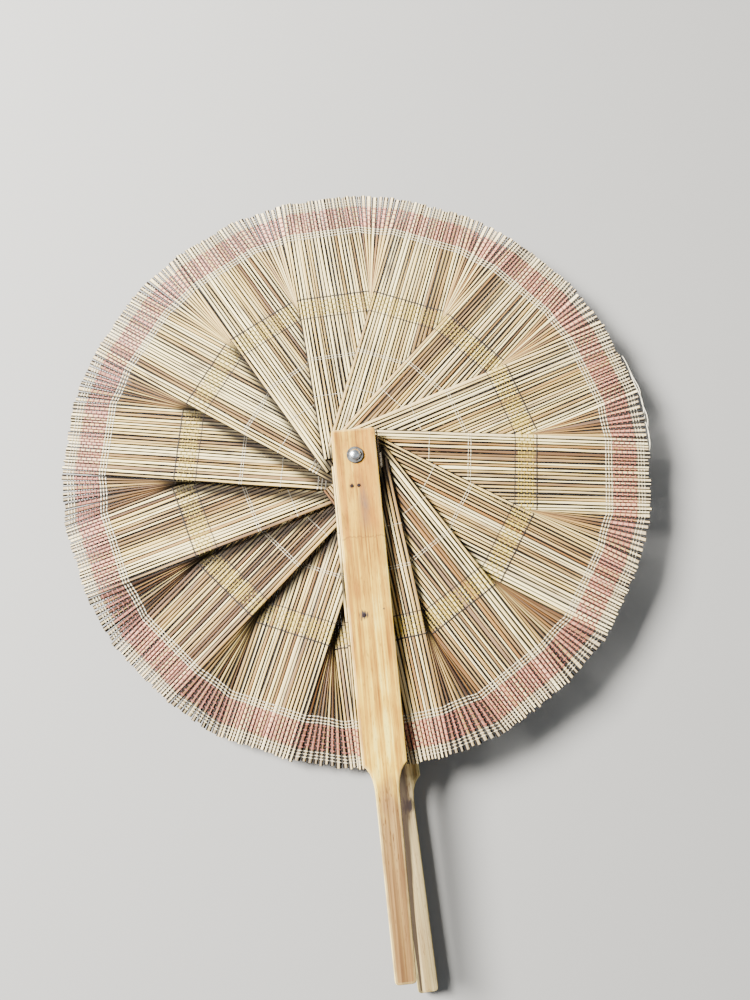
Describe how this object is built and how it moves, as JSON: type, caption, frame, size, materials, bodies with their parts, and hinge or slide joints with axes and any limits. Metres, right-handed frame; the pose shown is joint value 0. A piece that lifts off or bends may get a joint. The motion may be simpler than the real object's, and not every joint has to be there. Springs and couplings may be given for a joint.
{
  "type": "folding hand fan",
  "caption": "Round pleated hand fan of woven cane reeds that opens a full circle about a rivet, between flat guard sticks whose lower ends form the handle.",
  "frame": {"origin": "on the pivot axis, on the flat clenched tail of the rivet that rests on the ground", "axes": "+Z along the rivet towards its domed head, -Y along the back guard from the pivot to the end of the handle, +X to the right seen from the front"},
  "size_m": [0.3393, 0.4533, 0.0338],
  "materials": {
    "reed": "dry split reeds, unvarnished, woven with thread",
    "guard": "planed bamboo with worn satin varnish",
    "steel": "dull zinc grey, brighter on the head",
    "tack": "dark, slightly rusted",
    "cord": "twisted cotton"
  },
  "bodies": {
    "back_guard": {"back_guard": "guard", "back_washer": "steel", "pivot_rivet": "steel", "gather_cord": "cord", "back_tack_upper_left": "tack", "back_tack_upper_right": "tack", "back_tack_lower": "tack", "pleat_face_01": "reed"},
    "front_guard": {"front_guard": "guard", "front_washer": "steel", "front_tack_upper_left": "tack", "front_tack_upper_right": "tack", "front_tack_lower": "tack", "pleat_return_15": "reed"},
    "pleat_return_01": {"pleat_return_01": "reed"},
    "pleat_face_02": {"pleat_face_02": "reed"},
    "pleat_return_02": {"pleat_return_02": "reed"},
    "pleat_face_03": {"pleat_face_03": "reed"},
    "pleat_return_03": {"pleat_return_03": "reed"},
    "pleat_face_04": {"pleat_face_04": "reed"},
    "pleat_return_04": {"pleat_return_04": "reed"},
    "pleat_face_05": {"pleat_face_05": "reed"},
    "pleat_return_05": {"pleat_return_05": "reed"},
    "pleat_face_06": {"pleat_face_06": "reed"},
    "pleat_return_06": {"pleat_return_06": "reed"},
    "pleat_face_07": {"pleat_face_07": "reed"},
    "pleat_return_07": {"pleat_return_07": "reed"},
    "pleat_face_08": {"pleat_face_08": "reed"},
    "pleat_return_08": {"pleat_return_08": "reed"},
    "pleat_face_09": {"pleat_face_09": "reed"},
    "pleat_return_09": {"pleat_return_09": "reed"},
    "pleat_face_10": {"pleat_face_10": "reed"},
    "pleat_return_10": {"pleat_return_10": "reed"},
    "pleat_face_11": {"pleat_face_11": "reed"},
    "pleat_return_11": {"pleat_return_11": "reed"},
    "pleat_face_12": {"pleat_face_12": "reed"},
    "pleat_return_12": {"pleat_return_12": "reed"},
    "pleat_face_13": {"pleat_face_13": "reed"},
    "pleat_return_13": {"pleat_return_13": "reed"},
    "pleat_face_14": {"pleat_face_14": "reed"},
    "pleat_return_14": {"pleat_return_14": "reed"},
    "pleat_face_15": {"pleat_face_15": "reed"}
  },
  "joints": [
    {"name": "front_guard_swing", "type": "hinge", "parent": "back_guard", "child": "front_guard", "pos_m": [0, 0, 0.016], "axis": [0, 0, 1], "range_deg": [0, 362.3]},
    {"name": "pleat_return_01_turn", "type": "hinge", "parent": "back_guard", "child": "pleat_return_01", "pos_m": [0, 0, 0.016], "axis": [0, 0, 1], "range_deg": [0, 12.71]},
    {"name": "pleat_face_02_turn", "type": "hinge", "parent": "back_guard", "child": "pleat_face_02", "pos_m": [0, 0, 0.016], "axis": [0, 0, 1], "range_deg": [0, 25.43]},
    {"name": "pleat_return_02_turn", "type": "hinge", "parent": "pleat_face_02", "child": "pleat_return_02", "pos_m": [0, 0, 0.016], "axis": [0, 0, 1], "range_deg": [0, 12.71]},
    {"name": "pleat_face_03_turn", "type": "hinge", "parent": "pleat_face_02", "child": "pleat_face_03", "pos_m": [0, 0, 0.016], "axis": [0, 0, 1], "range_deg": [0, 25.43]},
    {"name": "pleat_return_03_turn", "type": "hinge", "parent": "pleat_face_03", "child": "pleat_return_03", "pos_m": [0, 0, 0.016], "axis": [0, 0, 1], "range_deg": [0, 12.71]},
    {"name": "pleat_face_04_turn", "type": "hinge", "parent": "pleat_face_03", "child": "pleat_face_04", "pos_m": [0, 0, 0.016], "axis": [0, 0, 1], "range_deg": [0, 25.43]},
    {"name": "pleat_return_04_turn", "type": "hinge", "parent": "pleat_face_04", "child": "pleat_return_04", "pos_m": [0, 0, 0.016], "axis": [0, 0, 1], "range_deg": [0, 12.71]},
    {"name": "pleat_face_05_turn", "type": "hinge", "parent": "pleat_face_04", "child": "pleat_face_05", "pos_m": [0, 0, 0.016], "axis": [0, 0, 1], "range_deg": [0, 25.43]},
    {"name": "pleat_return_05_turn", "type": "hinge", "parent": "pleat_face_05", "child": "pleat_return_05", "pos_m": [0, 0, 0.016], "axis": [0, 0, 1], "range_deg": [0, 12.71]},
    {"name": "pleat_face_06_turn", "type": "hinge", "parent": "pleat_face_05", "child": "pleat_face_06", "pos_m": [0, 0, 0.016], "axis": [0, 0, 1], "range_deg": [0, 25.43]},
    {"name": "pleat_return_06_turn", "type": "hinge", "parent": "pleat_face_06", "child": "pleat_return_06", "pos_m": [0, 0, 0.016], "axis": [0, 0, 1], "range_deg": [0, 12.71]},
    {"name": "pleat_face_07_turn", "type": "hinge", "parent": "pleat_face_06", "child": "pleat_face_07", "pos_m": [0, 0, 0.016], "axis": [0, 0, 1], "range_deg": [0, 25.43]},
    {"name": "pleat_return_07_turn", "type": "hinge", "parent": "pleat_face_07", "child": "pleat_return_07", "pos_m": [0, 0, 0.016], "axis": [0, 0, 1], "range_deg": [0, 12.71]},
    {"name": "pleat_face_08_turn", "type": "hinge", "parent": "pleat_face_07", "child": "pleat_face_08", "pos_m": [0, 0, 0.016], "axis": [0, 0, 1], "range_deg": [0, 25.43]},
    {"name": "pleat_return_08_turn", "type": "hinge", "parent": "pleat_face_08", "child": "pleat_return_08", "pos_m": [0, 0, 0.016], "axis": [0, 0, 1], "range_deg": [0, 12.71]},
    {"name": "pleat_face_09_turn", "type": "hinge", "parent": "pleat_face_08", "child": "pleat_face_09", "pos_m": [0, 0, 0.016], "axis": [0, 0, 1], "range_deg": [0, 25.43]},
    {"name": "pleat_return_09_turn", "type": "hinge", "parent": "pleat_face_09", "child": "pleat_return_09", "pos_m": [0, 0, 0.016], "axis": [0, 0, 1], "range_deg": [0, 12.71]},
    {"name": "pleat_face_10_turn", "type": "hinge", "parent": "pleat_face_09", "child": "pleat_face_10", "pos_m": [0, 0, 0.016], "axis": [0, 0, 1], "range_deg": [0, 25.43]},
    {"name": "pleat_return_10_turn", "type": "hinge", "parent": "pleat_face_10", "child": "pleat_return_10", "pos_m": [0, 0, 0.016], "axis": [0, 0, 1], "range_deg": [0, 12.71]},
    {"name": "pleat_face_11_turn", "type": "hinge", "parent": "pleat_face_10", "child": "pleat_face_11", "pos_m": [0, 0, 0.016], "axis": [0, 0, 1], "range_deg": [0, 25.43]},
    {"name": "pleat_return_11_turn", "type": "hinge", "parent": "pleat_face_11", "child": "pleat_return_11", "pos_m": [0, 0, 0.016], "axis": [0, 0, 1], "range_deg": [0, 12.71]},
    {"name": "pleat_face_12_turn", "type": "hinge", "parent": "pleat_face_11", "child": "pleat_face_12", "pos_m": [0, 0, 0.016], "axis": [0, 0, 1], "range_deg": [0, 25.43]},
    {"name": "pleat_return_12_turn", "type": "hinge", "parent": "pleat_face_12", "child": "pleat_return_12", "pos_m": [0, 0, 0.016], "axis": [0, 0, 1], "range_deg": [0, 12.71]},
    {"name": "pleat_face_13_turn", "type": "hinge", "parent": "pleat_face_12", "child": "pleat_face_13", "pos_m": [0, 0, 0.016], "axis": [0, 0, 1], "range_deg": [0, 25.43]},
    {"name": "pleat_return_13_turn", "type": "hinge", "parent": "pleat_face_13", "child": "pleat_return_13", "pos_m": [0, 0, 0.016], "axis": [0, 0, 1], "range_deg": [0, 12.71]},
    {"name": "pleat_face_14_turn", "type": "hinge", "parent": "pleat_face_13", "child": "pleat_face_14", "pos_m": [0, 0, 0.016], "axis": [0, 0, 1], "range_deg": [0, 25.43]},
    {"name": "pleat_return_14_turn", "type": "hinge", "parent": "pleat_face_14", "child": "pleat_return_14", "pos_m": [0, 0, 0.016], "axis": [0, 0, 1], "range_deg": [0, 12.71]},
    {"name": "pleat_face_15_turn", "type": "hinge", "parent": "pleat_face_14", "child": "pleat_face_15", "pos_m": [0, 0, 0.016], "axis": [0, 0, 1], "range_deg": [0, 25.43]}
  ],
  "couplings": [
    {"joint": "pleat_return_01_turn", "follows": "front_guard_swing", "ratio": 0.035093},
    {"joint": "pleat_face_02_turn", "follows": "front_guard_swing", "ratio": 0.070187},
    {"joint": "pleat_return_02_turn", "follows": "front_guard_swing", "ratio": 0.035093},
    {"joint": "pleat_face_03_turn", "follows": "front_guard_swing", "ratio": 0.070187},
    {"joint": "pleat_return_03_turn", "follows": "front_guard_swing", "ratio": 0.035093},
    {"joint": "pleat_face_04_turn", "follows": "front_guard_swing", "ratio": 0.070187},
    {"joint": "pleat_return_04_turn", "follows": "front_guard_swing", "ratio": 0.035093},
    {"joint": "pleat_face_05_turn", "follows": "front_guard_swing", "ratio": 0.070187},
    {"joint": "pleat_return_05_turn", "follows": "front_guard_swing", "ratio": 0.035093},
    {"joint": "pleat_face_06_turn", "follows": "front_guard_swing", "ratio": 0.070187},
    {"joint": "pleat_return_06_turn", "follows": "front_guard_swing", "ratio": 0.035093},
    {"joint": "pleat_face_07_turn", "follows": "front_guard_swing", "ratio": 0.070187},
    {"joint": "pleat_return_07_turn", "follows": "front_guard_swing", "ratio": 0.035093},
    {"joint": "pleat_face_08_turn", "follows": "front_guard_swing", "ratio": 0.070187},
    {"joint": "pleat_return_08_turn", "follows": "front_guard_swing", "ratio": 0.035093},
    {"joint": "pleat_face_09_turn", "follows": "front_guard_swing", "ratio": 0.070187},
    {"joint": "pleat_return_09_turn", "follows": "front_guard_swing", "ratio": 0.035093},
    {"joint": "pleat_face_10_turn", "follows": "front_guard_swing", "ratio": 0.070187},
    {"joint": "pleat_return_10_turn", "follows": "front_guard_swing", "ratio": 0.035093},
    {"joint": "pleat_face_11_turn", "follows": "front_guard_swing", "ratio": 0.070187},
    {"joint": "pleat_return_11_turn", "follows": "front_guard_swing", "ratio": 0.035093},
    {"joint": "pleat_face_12_turn", "follows": "front_guard_swing", "ratio": 0.070187},
    {"joint": "pleat_return_12_turn", "follows": "front_guard_swing", "ratio": 0.035093},
    {"joint": "pleat_face_13_turn", "follows": "front_guard_swing", "ratio": 0.070187},
    {"joint": "pleat_return_13_turn", "follows": "front_guard_swing", "ratio": 0.035093},
    {"joint": "pleat_face_14_turn", "follows": "front_guard_swing", "ratio": 0.070187},
    {"joint": "pleat_return_14_turn", "follows": "front_guard_swing", "ratio": 0.035093},
    {"joint": "pleat_face_15_turn", "follows": "front_guard_swing", "ratio": 0.070187}
  ]
}
